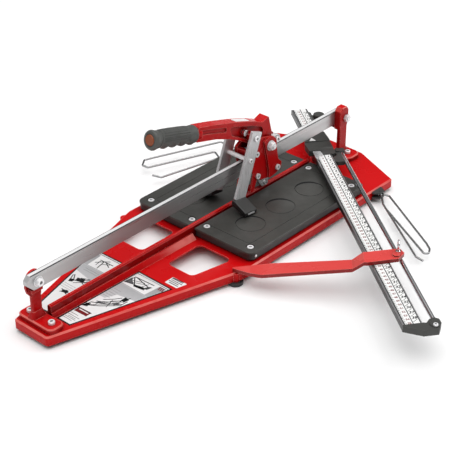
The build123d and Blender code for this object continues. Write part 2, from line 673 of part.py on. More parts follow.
def scale_strips():
    """Two printed strips on the bar, one with lines and one with figures."""
    top = BAR_Z1 - STRIP_T
    strips = []
    for y0, y1 in ((GROOVE_Y[0] + 0.7, GROOVE_Y[1] - 0.7), (GROOVE_Y[1] + 0.7, GROOVE_Y[2] - 0.7)):
        strips.append(BAR_FRAME * box(30, BAR_NEAR - 1, y0, y1, top, BAR_Z1))
        strips.append(BAR_FRAME * box(-BAR_FAR + 1, -46, y0, y1, top, BAR_Z1))
    return Compound(children=strips)


def pivot_block():
    """Saddle over the bar at its pivot: a level rear half, then a step and a slope down to the scale."""
    outline = [(-44, -16), (-8, -23.5), (0, -25), (24, -22.5), (26, -1), (41, -0.5), (41, 19), (37, 24.5),
               (-14, 24.5), (-44, 22)]
    block = plan(outline, BAR_Z0 + 2, BLOCK_TOP, 1.5)
    slope = [(-7, BLOCK_TOP + 1), (-7, BLOCK_TOP - 1.2), (16, BLOCK_TOP - 2.0), (19, BLOCK_TOP - 2.8),
             (45, BLOCK_TOP - 3.4), (45, BLOCK_TOP + 1)]
    block -= side(slope, -40, 40)
    block -= box(-60, 60, -BAR_W / 2 - 0.02, BAR_W / 2 + 0.02, BAR_Z0, BAR_Z1)
    block -= upright(0, 0, 5.0 + RUNNING_GAP, 40, PIN_TOP + 0.3)
    return BAR_FRAME * block


def bar_pointer():
    """Small pointer that reads the angle of the bar."""
    return BAR_FRAME * plan([(-9.5, -15), (-8.5, -2), (-21, -8)], BLOCK_TOP, BLOCK_TOP + 0.6, 0.8)


def guide_rod():
    rod = Pos(0, ROD_OFFSET, GUIDE_ROD_Z) * Rot(0, 90, 0) * Cylinder(
        GUIDE_ROD_R, 590 - GUIDE_ROD_START, align=(Align.CENTER, Align.CENTER, Align.MIN))
    rod = chamfer(rod.edges(), 0.6)
    return BAR_FRAME * Pos(GUIDE_ROD_START, 0, 0) * rod


def rod_holder():
    """Clamp block that carries the near end of the rod on the bar."""
    block = plan([(48, 16.05), (63, 16.05), (67, 22), (67, 35), (20, 35), (20, 26), (41, 26)], 53.0, 61.0, 1.5)
    block += plan([(20, 27), (30, 27), (31, 44), (20, 44)], 53.0, 64.0, 1.5)
    block -= Pos(0, ROD_OFFSET, GUIDE_ROD_Z) * Rot(0, 90, 0) * Cylinder(GUIDE_ROD_R, 300)
    return BAR_FRAME * block


def end_cap():
    """Moulded cap that closes the bar and holds the far end of the rod."""
    outline = [(BAR_NEAR, -16.5), (590.5, -16.5), (607, 12), (607, 36), (593, 43.5), (582, 43.5), (577, 37),
               (580, 28), (588.5, 21), (BAR_NEAR, 17)]
    cap = plan(outline, BAR_Z0 + 1, BAR_Z1 + 0.8, 1.2)
    cap += upright(594, 33, 9.0, BAR_Z0 + 1, BAR_Z1 + 2.5)
    cap = chamfer(cap.edges().group_by(Axis.Z)[-1], 0.8)
    cap -= Pos(0, ROD_OFFSET, GUIDE_ROD_Z) * Rot(0, 90, 0) * Cylinder(
        GUIDE_ROD_R, 590, align=(Align.CENTER, Align.CENTER, Align.MIN))
    cap -= upright(599, 32, 2.0, 62, 80)
    return BAR_FRAME * cap


def end_cap_screw():
    return BAR_FRAME * (Pos(599, 32, BAR_Z1 + 2.5) * cap_screw(1.95, 4.0, 2.4, 3.5))


def knob_bracket():
    """Wedge plate on the side of the bar that carries the locking knob."""
    plate = plan([(-146, 16), (-104, 16), (-112, 42), (-132, 42)], 50.5, 54.5, 3.0)
    plate += plan([(-146, 16), (-104, 16), (-110, 20), (-140, 20)], 54.5, 61.0, 0.8)
    plate -= upright(-122, 32, 3.0 + RUNNING_GAP, 40, 80)
    return BAR_FRAME * plate


def lock_knob():
    """Ribbed knob on a stud that turns in the bracket."""
    knob = upright(-122, 32, 11.0, 55.0, 66.0)
    knob = fillet(knob.edges().group_by(Axis.Z)[-1], 1.6)
    for k in range(12):
        a = radians(30 * k)
        knob -= upright(-122 + 11.8 * cos(a), 32 + 11.8 * sin(a), 2.0, 50, 70)
    knob += upright(-122, 32, 3.0, 47.0, 55.0)
    knob += upright(-122, 32, 5.0, 46.5, 50.2)
    return BAR_FRAME * knob


def bar_pivot_pin():
    """Pillar on the deck with the pin the bar turns on."""
    pin = upright(BAR_PIVOT_X, 0, 14.0, DECK_Z, BAR_Z0 - 0.3)
    return pin + upright(BAR_PIVOT_X, 0, 5.0, 12.0, PIN_TOP)


# ---- support arm ------------------------------------------------------------------------
ARM_OUTLINE = [
    (-198.5, -124.5), (-173.4, -143.2), (-152, -168.5), (-78, -283), (-62, -298), (-25, -326), (-16, -334),
    (-22, -347), (-42, -350), (-85, -319), (-95, -306), (-184, -180), (-190, -158), (-194.5, -141),
]


def arm_band():
    """Side view of the arm: level root, slope, joggle and level head, swept across the arm."""
    top = [(-30, ARM_ROOT_Z), (ARM_RAMP[0], ARM_ROOT_Z), (ARM_RAMP[1], ARM_JOG_Z), (ARM_HEAD, ARM_HEAD_Z),
           (300, ARM_HEAD_Z)]
    under = [(d, z - ARM_T) for d, z in reversed(top)]
    band = side(top + under, -80, 80)
    return Pos(ARM_PIVOT[0], ARM_PIVOT[1], 0) * Rot(0, 0, ARM_ANGLE) * band


def support_arm():
    """Arm from the corner of the deck up and over the measuring bar."""
    arm = plan(ARM_OUTLINE, 10, 90, 1.8) & arm_band()
    arm += upright(EYE[0] - 11, EYE[1] - 4, 6.0, ARM_HEAD_Z - 1, ARM_HEAD_Z + 2.5)
    arm -= upright(*ARM_PIVOT, ARM_PIN_R + RUNNING_GAP, 10, ARM_ROOT_Z - 1.5)
    arm -= upright(*EYE, 2.5 + RUNNING_GAP, 50, 90)
    return arm


def arm_pivot_pin():
    """Pin of the arm, set in a boss of the rim and hidden by the arm."""
    return upright(*ARM_PIVOT, ARM_PIN_R, 12, ARM_ROOT_Z - 1.8)


def eye_screw():
    """Clamp screw with a ring to turn it by."""
    z = ARM_HEAD_Z
    screw = upright(*EYE, 2.5, z - 5.5, z + 7)
    screw += upright(*EYE, 4.4, z + 0.3, z + 2.2)
    screw += Pos(EYE[0], EYE[1], z + 13.5) * Rot(0, 0, 40) * Rot(90, 0, 0) * Torus(6.8, 1.7)
    return screw


# ---- side supports ----------------------------------------------------------------------
NEAR_LEG_PATH = [(182.5, -151.5), (180, -159), (160, -176), (149.5, -190), (53.5, -322), (51, -338)]
NEAR_LOOP_PATH = [(150.5, -188), (71, -326), (76, -333), (89, -326), (100, -312), (190.5, -168), (188.5, -152)]
FAR_LEG_PATH = [(134.5, 151), (128, 158), (100, 163), (82, 165), (-38, 193), (-43, 211)]
FAR_LOOP_PATH = [(92, 164), (104, 186), (-28, 238), (-29, 252), (-12, 264), (6, 258), (142, 205), (141, 152)]


def bent_rod(points, r, z, bend):
    """Round wire along a plan path with rounded bends."""
    path = FilletPolyline(*[(x, y, z) for x, y in points], radius=bend)
    start = Plane(origin=path @ 0, z_dir=path % 0)
    return sweep(start * Circle(r), path=path)


def side_wire(pivot, leg_path, loop_path):
    """Folding support: a hooked leg and a loop welded on top of it, on a sleeve that turns on a pin."""
    wire = bent_rod(leg_path, WIRE_R, WIRE_Z, 4.0)
    wire += bent_rod(loop_path, WIRE_R, WIRE_Z + 0.5, 5.0)
    wire += upright(*pivot, SLEEVE_R, WIRE_Z - 3.2, WIRE_Z + 3.2)
    return wire - upright(*pivot, 2.0 + RUNNING_GAP, 0, 30)


def near_side_wire():
    return side_wire(NEAR_WIRE, NEAR_LEG_PATH, NEAR_LOOP_PATH)


def far_side_wire():
    return side_wire(FAR_WIRE, FAR_LEG_PATH, FAR_LOOP_PATH)


def bracket(pivot, s):
    """Two lugs on the rim with the pin the wire turns on."""
    x, y = pivot
    edge = s * WIDE_HALF
    outline = [(x - 15, edge), (x + 15, edge), (x + 7, y + s * 6), (x - 7, y + s * 6)]
    lugs = plan(outline, WIRE_Z - 6.6, WIRE_Z - 3.5, 1.5) + plan(outline, WIRE_Z + 3.5, WIRE_Z + 6.6, 1.5)
    lugs += upright(x, y, 2.0, WIRE_Z - 6.6, WIRE_Z + 7.4)
    return lugs


def side_wire_brackets():
    return Compound(children=[bracket(NEAR_WIRE, -1), bracket(FAR_WIRE, 1)])


# ---- instruction labels -----------------------------------------------------------------
def instruction_labels():
    """Thin printed labels on the nose of the deck, both sides, and a plain one near the pad."""
    t = 0.15
    near = [(-480, -9.5), (-481, -40), (-302, -90), (-300, -12)]
    small = [(-295, -66), (-295, -93), (-275, -98), (-275, -66)]
    labels = []
    for outline in (near, mirror_y(near), small):
        labels.append(plan(outline, DECK_Z, DECK_Z + t, 1.5))
    return Compound(children=labels)


# ---- export -----------------------------------------------------------------------------
PARTS = {
    "base_plate": base_plate,
    "breaking_rib": breaking_rib,
    "rubber_feet": rubber_feet,
    "centre_foot": centre_foot,
    "near_post": post_near,
    "far_post": post_far,
    "post_screws": post_screws,
    "guide_rail": guide_rail,
    "rail_screws": rail_screws,
    "near_pad_tray": lambda: pad_tray(1),
    "near_pad_mat": lambda: pad_mat(1),
    "near_pad_springs": lambda: pad_springs(1),
    "far_pad_tray": lambda: pad_tray(-1),
    "far_pad_mat": lambda: pad_mat(-1),
    "far_pad_springs": lambda: pad_springs(-1),
    "pad_screws": pad_screws,
    "carriage_casting": carriage_casting,
    "wheel_holder": wheel_holder,
    "holder_screws": holder_screws,
    "wheel_axle": wheel_axle,
    "cutting_wheel": cutting_wheel,
    "roller_axles": roller_axles,
    "handle_pivot_bolt": pivot_bolt,
    "handle_casting": handle_casting,
    "handle_grip": handle_grip,
    "grip_plug": grip_plug,
    "handle_label": handle_label,
    "leg_pin": leg_pin,
    "stop_screw": stop_screw,
    "near_leg": lambda: leg(-1),
    "far_leg": lambda: leg(1),
    "cross_rod": cross_rod,
    "rod_screws": rod_screws,
    "near_shoe": lambda: shoe(-1),
    "far_shoe": lambda: shoe(1),
    "measuring_bar": measuring_bar,
    "scale_strips": scale_strips,
    "pivot_block": pivot_block,
    "bar_pointer": bar_pointer,
    "guide_rod": guide_rod,
    "rod_holder": rod_holder,
    "end_cap": end_cap,
    "end_cap_screw": end_cap_screw,
    "knob_bracket": knob_bracket,
    "lock_knob": lock_knob,
    "bar_pivot_pin": bar_pivot_pin,
    "support_arm": support_arm,
    "arm_pivot_pin": arm_pivot_pin,
    "eye_screw": eye_screw,
    "near_side_wire": near_side_wire,
    "far_side_wire": far_side_wire,
    "side_wire_brackets": side_wire_brackets,
    "instruction_labels": instruction_labels,
}

os.makedirs("parts", exist_ok=True)
for roller_name in ROLLERS:
    export_step(roller(roller_name), "parts/" + roller_name + ".step")
for part_name, make in PARTS.items():
    export_step(make(), "parts/" + part_name + ".step")
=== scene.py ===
import json
import math

import bmesh
import bpy
from mathutils import Matrix, Vector


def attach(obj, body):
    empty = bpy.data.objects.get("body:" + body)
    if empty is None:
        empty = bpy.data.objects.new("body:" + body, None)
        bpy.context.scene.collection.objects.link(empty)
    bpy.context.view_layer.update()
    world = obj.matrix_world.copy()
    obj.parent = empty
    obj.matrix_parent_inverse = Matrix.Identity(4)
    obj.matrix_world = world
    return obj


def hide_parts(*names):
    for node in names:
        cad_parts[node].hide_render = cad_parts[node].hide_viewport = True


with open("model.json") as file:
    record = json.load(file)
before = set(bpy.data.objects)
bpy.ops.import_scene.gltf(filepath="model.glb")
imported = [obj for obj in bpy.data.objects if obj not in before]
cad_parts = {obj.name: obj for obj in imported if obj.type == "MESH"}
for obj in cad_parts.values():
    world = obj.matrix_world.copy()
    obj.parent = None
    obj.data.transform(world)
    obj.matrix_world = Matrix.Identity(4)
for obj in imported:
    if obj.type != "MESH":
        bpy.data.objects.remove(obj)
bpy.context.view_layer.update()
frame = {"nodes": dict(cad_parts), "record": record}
NODES = frame["nodes"]
MM = 0.001

# Heights and places in millimetres, as in the CAD.
LABEL_Z = 24.15            # top of the labels on the deck
STRIP_Z = 63.5             # top of the printed strips on the bar
PAD_Z = 42.0               # top of the mats
FILM = 0.06                # thickness of printed ink
GRIP_END = Vector((-253.0, 0.0, 246.5))
GRIP_ROOT = Vector((-150.0, 0.0, 218.5))
# The bar's own frame: X along it from its pivot, towards the near end.
BAR = Matrix.Translation((189.5, 0, 0)) @ Matrix.Rotation(math.radians(-127.5), 4, "Z")


# ---- camera, light and floor ---------------------------------------------------------------
def make_camera():
    data = bpy.data.cameras.new("camera")
    data.sensor_width = 36.0
    data.lens = 103.26
    data.clip_end = 100.0
    camera = bpy.data.objects.new("camera", data)
    bpy.context.scene.collection.objects.link(camera)
    right = Vector((0.66709, -0.74498, 0.0))
    back = Vector((-0.63514, -0.56874, 0.52262))
    up = back.cross(right)
    turn = Matrix((right, up, back)).transposed().to_4x4()
    camera.matrix_world = Matrix.Translation((-1.5466, -1.3239, 1.2160)) @ turn
    bpy.context.scene.camera = camera
    bpy.context.scene.view_settings.view_transform = "Standard"


def make_light(name, place, target, size, power):
    data = bpy.data.lights.new(name, "AREA")
    data.shape = "RECTANGLE"
    data.size, data.size_y = size
    data.energy = power
    lamp = bpy.data.objects.new(name, data)
    lamp.location = place
    aim = Vector(target) - Vector(place)
    lamp.rotation_euler = aim.to_track_quat("-Z", "Y").to_euler()
    bpy.context.scene.collection.objects.link(lamp)


def make_stage():
    mesh = bpy.data.meshes.new("floor")
    mesh.from_pydata([(-14, -14, 0), (14, -14, 0), (14, 14, 0), (-14, 14, 0)], [], [(0, 1, 2, 3)])
    floor = bpy.data.objects.new("floor", mesh)
    bpy.context.scene.collection.objects.link(floor)
    paint = bpy.data.materials.new("floor")
    paint.use_nodes = True
    shader = paint.node_tree.nodes["Principled BSDF"]
    shader.inputs["Base Color"].default_value = (0.97, 0.97, 0.97, 1)
    shader.inputs["Roughness"].default_value = 0.9
    shader.inputs["Specular IOR Level"].default_value = 0.1
    mesh.materials.append(paint)
    world = bpy.data.worlds.new("studio")
    world.use_nodes = True
    tree = world.node_tree
    place = tree.nodes.new("ShaderNodeTexCoord")
    split = tree.nodes.new("ShaderNodeSeparateXYZ")
    ramp = tree.nodes.new("ShaderNodeValToRGB")
    tree.links.new(place.outputs["Generated"], split.inputs[0])
    tree.links.new(split.outputs["Z"], ramp.inputs["Fac"])
    stops = [(0.0, 0.30), (0.20, 0.10), (0.58, 0.16), (0.84, 1.60)]
    while len(ramp.color_ramp.elements) < len(stops):
        ramp.color_ramp.elements.new(0.5)
    for element, (where, value) in zip(ramp.color_ramp.elements, stops):
        element.position = where
        element.color = (value, value, value, 1)
    tree.links.new(ramp.outputs["Color"], tree.nodes["Background"].inputs["Color"])
    tree.nodes["Background"].inputs["Strength"].default_value = 1.14
    bpy.context.scene.world = world
    make_light("key", (-1.7, -0.8, 2.8), (-0.05, -0.05, 0.05), (2.6, 2.4), 16)
    make_light("side", (1.9, -1.57, 1.72), (0, 0, 0.1), (1.0, 0.6), 15)


# ---- materials -----------------------------------------------------------------------------
class Paint:
    """Small helper that builds one node material."""

    def __init__(self, name):
        self.material = bpy.data.materials.new(name)
        self.material.use_nodes = True
        self.tree = self.material.node_tree
        self.shader = self.tree.nodes["Principled BSDF"]

    def node(self, kind, **values):
        made = self.tree.nodes.new(kind)
        for key, value in values.items():
            if key in made.inputs:
                made.inputs[key].default_value = value
            else:
                setattr(made, key, value)
        return made

    def link(self, a, b):
        self.tree.links.new(a, b)

    def set(self, **values):
        for key, value in values.items():
            self.shader.inputs[key.replace("_", " ")].default_value = value

    def coords(self, scale=(1, 1, 1)):
        place = self.node("ShaderNodeTexCoord")
        mapping = self.node("ShaderNodeMapping")
        mapping.inputs["Scale"].default_value = scale
        self.link(place.outputs["Object"], mapping.inputs["Vector"])
        return mapping.outputs["Vector"]

    def axis(self, name):
        split = self.node("ShaderNodeSeparateXYZ")
        self.link(self.coords(), split.inputs[0])
        return split.outputs[name]

    def noise(self, scale, detail=3.0, rough=0.5, stretch=(1, 1, 1)):
        made = self.node("ShaderNodeTexNoise", Scale=scale, Detail=detail, Roughness=rough)
        self.link(self.coords(stretch), made.inputs["Vector"])
        return made.outputs["Fac"]

    def cells(self, scale):
        made = self.node("ShaderNodeTexVoronoi", Scale=scale)
        self.link(self.coords(), made.inputs["Vector"])
        return made.outputs["Distance"]

    def span(self, fac, low, high, out_low, out_high):
        made = self.node("ShaderNodeMapRange")
        limits = {"From Min": low, "From Max": high, "To Min": out_low, "To Max": out_high}
        for key, value in limits.items():
            made.inputs[key].default_value = value
        self.link(fac, made.inputs["Value"])
        return made.outputs["Result"]

    def mix(self, fac, a, b):
        made = self.node("ShaderNodeMix", data_type="RGBA")
        self.link(fac, made.inputs["Factor"])
        for socket, value in ((made.inputs[6], a), (made.inputs[7], b)):
            if isinstance(value, tuple):
                socket.default_value = (*value, 1)
            else:
                self.link(value, socket)
        return made.outputs[2]

    def math(self, kind, a, b=0.0):
        made = self.node("ShaderNodeMath", operation=kind)
        for socket, value in zip(made.inputs, (a, b)):
            if isinstance(value, (int, float)):
                socket.default_value = value
            else:
                self.link(value, socket)
        return made.outputs["Value"]

    def facing(self, name):
        split = self.node("ShaderNodeSeparateXYZ")
        self.link(self.node("ShaderNodeTexCoord").outputs["Normal"], split.inputs[0])
        return split.outputs[name]

    def lift(self):
        """How far a face looks up: 1 on top faces, 0 on flanks."""
        return self.facing("Z")

    def edge(self, radius=0.0012, power=6.0):
        """Mask along convex edges, where the rounded normal leaves the true one; the materials use it for
        painted edge highlights, and the red enamel also for wear.
        """
        bevel = self.node("ShaderNodeBevel", samples=4)
        bevel.inputs["Radius"].default_value = radius
        true = self.node("ShaderNodeNewGeometry")
        dot = self.node("ShaderNodeVectorMath", operation="DOT_PRODUCT")
        self.link(bevel.outputs["Normal"], dot.inputs[0])
        self.link(true.outputs["Normal"], dot.inputs[1])
        return self.span(dot.outputs["Value"], 1.0, 1.0 - 1.0 / power, 0.0, 1.0)

    def hollow(self, distance):
        """Painted shade: an occlusion factor, dark in corners and seams."""
        made = self.node("ShaderNodeAmbientOcclusion", samples=4, Distance=distance)
        return made.outputs["AO"]

    def colour(self, value):
        self.link(value, self.shader.inputs["Base Color"])

    def rough(self, value):
        self.link(value, self.shader.inputs["Roughness"])

    def bump(self, heights, radius=0.0007):
        """Rounded edges from a bevel, with (height, distance, strength) layers on top."""
        bevel = self.node("ShaderNodeBevel", samples=4)
        bevel.inputs["Radius"].default_value = radius
        normal = bevel.outputs["Normal"]
        for height, distance, strength in heights:
            made = self.node("ShaderNodeBump")
            made.inputs["Distance"].default_value = distance
            made.inputs["Strength"].default_value = strength
            self.link(height, made.inputs["Height"])
            self.link(normal, made.inputs["Normal"])
            normal = made.outputs["Normal"]
        self.link(normal, self.shader.inputs["Normal"])


def red_paint(name="red_paint", low=(0.54, 0.002, 0.003), high=(0.63, 0.004, 0.006),
              specular=0.14, side=0.2, glint=0.4):
    """Orange-peel enamel with painted shade on flanks (side) and in corners, edges paled as wear and
    painted highlight, and a painted highlight on bevels (glint).
    """
    p = Paint(name)
    colour = p.mix(p.noise(9, 3), low, high)
    # Painted shade: faces that turn away from the top are darkened towards deep red, by the side factor.
    flank = p.span(p.lift(), 0.30, 0.85, side, 0.0)
    colour = p.mix(flank, colour, (0.16, 0.001, 0.001))
    # Painted shade: darker in corners and seams, from the occlusion factor.
    shade = p.span(p.hollow(0.016), 0.25, 0.95, 0.85, 0.0)
    colour = p.mix(shade, colour, (0.10, 0.0005, 0.0008))
    # Wear and painted highlight: edges paled towards pink.
    wear_and_highlight = p.math("MULTIPLY", p.edge(0.0012, 4.0), p.span(p.noise(45, 4), 0.30, 0.55, 0.25, 0.9))
    colour = p.mix(wear_and_highlight, colour, (0.98, 0.30, 0.26))
    # Painted highlight: chamfers that face half up are paled, by the glint factor.
    rise = p.span(p.lift(), 0.60, 0.68, 0.0, 1.0)
    bevel = p.math("MULTIPLY", rise, p.span(p.lift(), 0.74, 0.82, glint, 0.0))
    bevel = p.math("MULTIPLY", bevel, p.span(p.noise(18, 3), 0.35, 0.6, 0.35, 1.0))
    colour = p.mix(bevel, colour, (1.0, 0.40, 0.34))
    p.colour(colour)
    p.rough(p.span(p.noise(14, 5), 0.3, 0.7, 0.20, 0.34))
    p.set(Specular_IOR_Level=specular)
    p.bump([(p.noise(420, 2), 0.00010, 0.3), (p.noise(38, 2), 0.0005, 0.10)])
    return p.material


def zinc(name="zinc", tone=0.86, rough=0.24, metal=1.0):
    p = Paint(name)
    colour = p.mix(p.noise(80, 4), (tone, tone, tone), (tone * 0.86, tone * 0.86, tone * 0.88))
    # Painted shade: darker in corners, from the occlusion factor.
    shade = p.span(p.hollow(0.004), 0.3, 0.9, 0.75, 0.0)
    p.colour(p.mix(shade, colour, (0.10, 0.10, 0.11)))
    p.set(Metallic=metal)
    p.rough(p.span(p.noise(120, 4), 0.3, 0.7, rough - 0.05, rough + 0.12))
    p.bump([(p.noise(500, 3), 0.00004, 0.3)], 0.0005)
    return p.material


def steel(name, tone, stretch, rough=0.28, metal=0.9, flank=None):
    """Ground or drawn metal with fine lines along one direction, a painted highlight on its edges and,
    where flank is given, painted shade on its side faces.
    """
    p = Paint(name)
    lines = p.noise(160, 5, 0.6, stretch)
    colour = p.mix(lines, (tone * 0.84, tone * 0.84, tone * 0.86), (tone, tone, tone))
    # Painted highlight: edges paled to near white.
    colour = p.mix(p.math("MULTIPLY", p.edge(0.0009, 3.0), 0.8), colour, (0.98, 0.98, 0.98))
    # Painted shade: side faces darkened to the flank tone.
    if flank is not None:
        colour = p.mix(p.span(p.lift(), 0.2, 0.7, 1.0, 0.0), colour, (flank, flank, flank))
    p.colour(colour)
    p.set(Metallic=metal)
    p.rough(p.span(lines, 0.3, 0.7, rough - 0.07, rough + 0.10))
    p.bump([(lines, 0.00006, 0.5)], 0.0004)
    return p.material


def rail_steel():
    """Drawn bar with painted light: a painted highlight along the top, painted dark reflections on the
    bevels along it, and sides painted paler towards the far post and at the near end as painted
    reflection.
    """
    p = Paint("bright_steel")
    lines = p.noise(160, 5, 0.6, (0.02, 1, 1))
    # Painted reflection: the sides pale towards the far post and at the near end.
    tone = p.span(p.axis("X"), -0.35, 0.25, 0.30, 0.60)
    colour = p.mix(p.math("MULTIPLY", lines, 0.3), tone, (0.22, 0.22, 0.23))
    colour = p.mix(p.span(p.axis("X"), -0.51, -0.36, 0.55, 0.0), colour, (0.62, 0.62, 0.62))
    # Painted dark reflection: near-black on the bevels along the bar, not on its end faces.
    ends = p.span(p.math("ABSOLUTE", p.facing("X")), 0.3, 0.5, 1.0, 0.0)
    upper = p.math("MULTIPLY", p.span(p.lift(), 0.35, 0.5, 0.0, 1.0), ends)
    colour = p.mix(upper, colour, (0.01, 0.01, 0.012))
    # Painted highlight: white along the middle of the top face.
    crown = p.span(p.math("ABSOLUTE", p.axis("Y")), 0.0029, 0.0034, 1.0, 0.0)
    top = p.math("MULTIPLY", p.span(p.lift(), 0.82, 0.95, 0.0, 1.0), crown)
    colour = p.mix(top, colour, (0.88, 0.88, 0.88))
    p.colour(colour)
    p.link(p.span(p.lift(), 0.35, 0.5, 0.9, 0.2), p.shader.inputs["Metallic"])
    p.rough(p.span(lines, 0.3, 0.7, 0.23, 0.40))
    p.bump([(lines, 0.00006, 0.5)], 0.0004)
    return p.material


def chrome(name="chrome"):
    p = Paint(name)
    p.colour(p.mix(p.noise(50, 3), (0.90, 0.90, 0.91), (0.78, 0.78, 0.80)))
    p.set(Metallic=1.0)
    p.rough(p.span(p.noise(90, 4), 0.3, 0.7, 0.05, 0.14))
    p.bump([(p.noise(300, 2), 0.00003, 0.2)], 0.0003)
    return p.material


def plastic(name, colour, rough=0.45, grain=0.35, edge=0.5, flank=None):
    p = Paint(name)
    lift = tuple(min(1.0, c * 1.3 + 0.006) for c in colour)
    pale = tuple(min(1.0, c * 2.2 + 0.05) for c in colour)
    tint = p.mix(p.noise(24, 4), colour, lift)
    # Painted shade: side faces darkened to the flank colour.
    if flank is not None:
        tint = p.mix(p.span(p.lift(), 0.3, 0.7, 1.0, 0.0), tint, flank)
    # Painted highlight: edges mixed to the pale colour, by the edge factor.
    p.colour(p.mix(p.math("MULTIPLY", p.edge(0.0008, 4.0), edge), tint, pale))
    p.rough(p.span(p.noise(40, 4), 0.3, 0.7, rough - 0.06, rough + 0.10))
    p.bump([(p.cells(1400.0), 0.00012, grain)], 0.0006)
    return p.material


def rubber(name, colour, rough=0.62, edge=0.5):
    """Moulded rubber: dusty patches, a painted highlight on the rims and painted shade in the grooves."""
    p = Paint(name)
    dust = p.span(p.noise(16, 5, 0.6), 0.42, 0.72, 0.0, 0.6)
    pale = tuple(c * 1.6 + 0.010 for c in colour)
    rim_highlight = tuple(c * 2.6 + 0.04 for c in colour)
    dark = tuple(c * 0.12 for c in colour)
    tint = p.mix(dust, colour, pale)
    # Painted highlight: rims paled, by the edge factor.
    tint = p.mix(p.math("MULTIPLY", p.edge(0.0010, 4.0), edge), tint, rim_highlight)
    # Painted shade: grooves and corners darkened, from the occlusion factor.
    p.colour(p.mix(p.span(p.hollow(0.0035), 0.45, 0.95, 0.95, 0.0), tint, dark))
    p.rough(p.span(p.noise(55, 4), 0.3, 0.7, rough - 0.10, rough + 0.12))
    p.set(Sheen_Weight=0.06, Specular_IOR_Level=0.5)
    p.bump([(p.noise(900, 2), 0.00012, 0.4), (p.noise(120, 3), 0.0002, 0.2)], 0.0007)
    return p.material


def ink(name, colour, rough=0.5):
    """Printed ink with a slightly uneven film."""
    p = Paint(name)
    p.colour(p.mix(p.noise(300, 3), colour, tuple(min(1.0, c * 1.2 + 0.02) for c in colour)))
    p.rough(p.span(p.noise(90, 3), 0.3, 0.7, rough - 0.08, rough + 0.08))
    p.set(Specular_IOR_Level=0.0)
    p.bump([(p.noise(700, 2), 0.00003, 0.2)], 0.0001)
    return p.material


def grey_print():
    """Grey field of the labels that fades along the cutter."""
    p = Paint("grey_print")
    fade = p.span(p.axis("X"), -0.42, -0.31, 0.0, 1.0)
    tint = p.mix(fade, (0.66, 0.66, 0.67), (0.24, 0.24, 0.25))
    p.colour(p.mix(p.math("MULTIPLY", p.noise(220, 4), 0.16), tint, (0.82, 0.82, 0.83)))
    p.rough(p.span(p.noise(90, 3), 0.3, 0.7, 0.32, 0.46))
    p.bump([(p.noise(600, 2), 0.00003, 0.2)], 0.0001)
    return p.material


MATERIALS = {}


def make_materials():
    MATERIALS.update({
        "red_paint": red_paint(),
        # The red variants also differ in painted shade on flanks (side) and painted highlight on bevels
        # (glint).
        "arm_paint": red_paint("arm_paint", (0.66, 0.050, 0.045), (0.74, 0.075, 0.068), 0.3, 0.8),
        "rib_paint": red_paint("rib_paint", side=0.8, glint=0.0),
        "post_paint": red_paint("post_paint", side=0.45),
        "casting_paint": red_paint("casting_paint", (0.50, 0.002, 0.003), (0.60, 0.004, 0.006),
                                   0.12, 0.3),
        "black_paint": plastic("black_paint", (0.022, 0.022, 0.022), 0.42, 0.15),
        "bright_steel": rail_steel(),
        "leg_steel": steel("leg_steel", 0.64, (7, 7, 0.2), 0.30, metal=0.35),
        "head_zinc": zinc("head_zinc", 0.97, 0.34, 0.35),
        "zinc": zinc(),
        "chrome": chrome(),
        "aluminium": steel("aluminium", 0.40, (0.05, 0.05, 1), 0.34, flank=0.035),
        "plate_metal": steel("plate_metal", 0.66, (1, 1, 1), 0.40, metal=0.5),
        "pad_rubber": rubber("pad_rubber", (0.034, 0.034, 0.030), 0.46),
        "foot_rubber": rubber("foot_rubber", (0.02, 0.02, 0.02)),
        "grip_rubber": rubber("grip_rubber", (0.058, 0.060, 0.055), 0.5, 0.35),
        "orange_plastic": plastic("orange_plastic", (0.20, 0.038, 0.003), 0.36, 0.2),
        "black_plastic": plastic("black_plastic", (0.034, 0.034, 0.031)),
        "shoe_plastic": plastic("shoe_plastic", (0.030, 0.031, 0.030), 0.34, 0.25, 1.0,
                                (0.003, 0.003, 0.003)),
        "white_strip": plastic("white_strip", (0.74, 0.74, 0.73), 0.36, 0.1, 0.0),
        "label": plastic("label", (0.72, 0.71, 0.71), 0.34, 0.05, 0.0),
        "wire": steel("wire", 0.42, (1, 1, 1), 0.16),
        "carbide": zinc("carbide", 0.45),
        "black_ink": ink("black_ink", (0.010, 0.010, 0.011)),
        "soft_ink": ink("soft_ink", (0.10, 0.10, 0.105)),
        "red_ink": ink("red_ink", (0.16, 0.012, 0.014)),
        "grey_print": grey_print(),
    })


LOOKS = {"support_arm": "arm_paint", "breaking_rib": "rib_paint", "near_post": "post_paint",
         "far_post": "post_paint", "near_shoe": "shoe_plastic", "far_shoe": "shoe_plastic",
         "upper_front_roller": "plate_metal", "upper_rear_roller": "plate_metal",
         "lower_front_roller": "plate_metal", "lower_rear_roller": "plate_metal",
         "near_leg": "leg_steel", "far_leg": "leg_steel", "handle_casting": "casting_paint",
         "carriage_casting": "casting_paint"}
HEADS = ("post_screws", "pad_screws", "rail_screws", "end_cap_screw", "rod_screws", "leg_pin",
         "roller_axles", "handle_pivot_bolt", "cross_rod")


def dress_nodes():
    """The CAD nodes keep their shapes and get the full materials."""
    for entry in frame["record"]["subparts"]:
        name = entry["node"]
        look = MATERIALS["head_zinc" if name in HEADS else LOOKS.get(name, entry["material_slot"])]
        mesh = NODES[name].data
        mesh.materials.clear()
        mesh.materials.append(look)


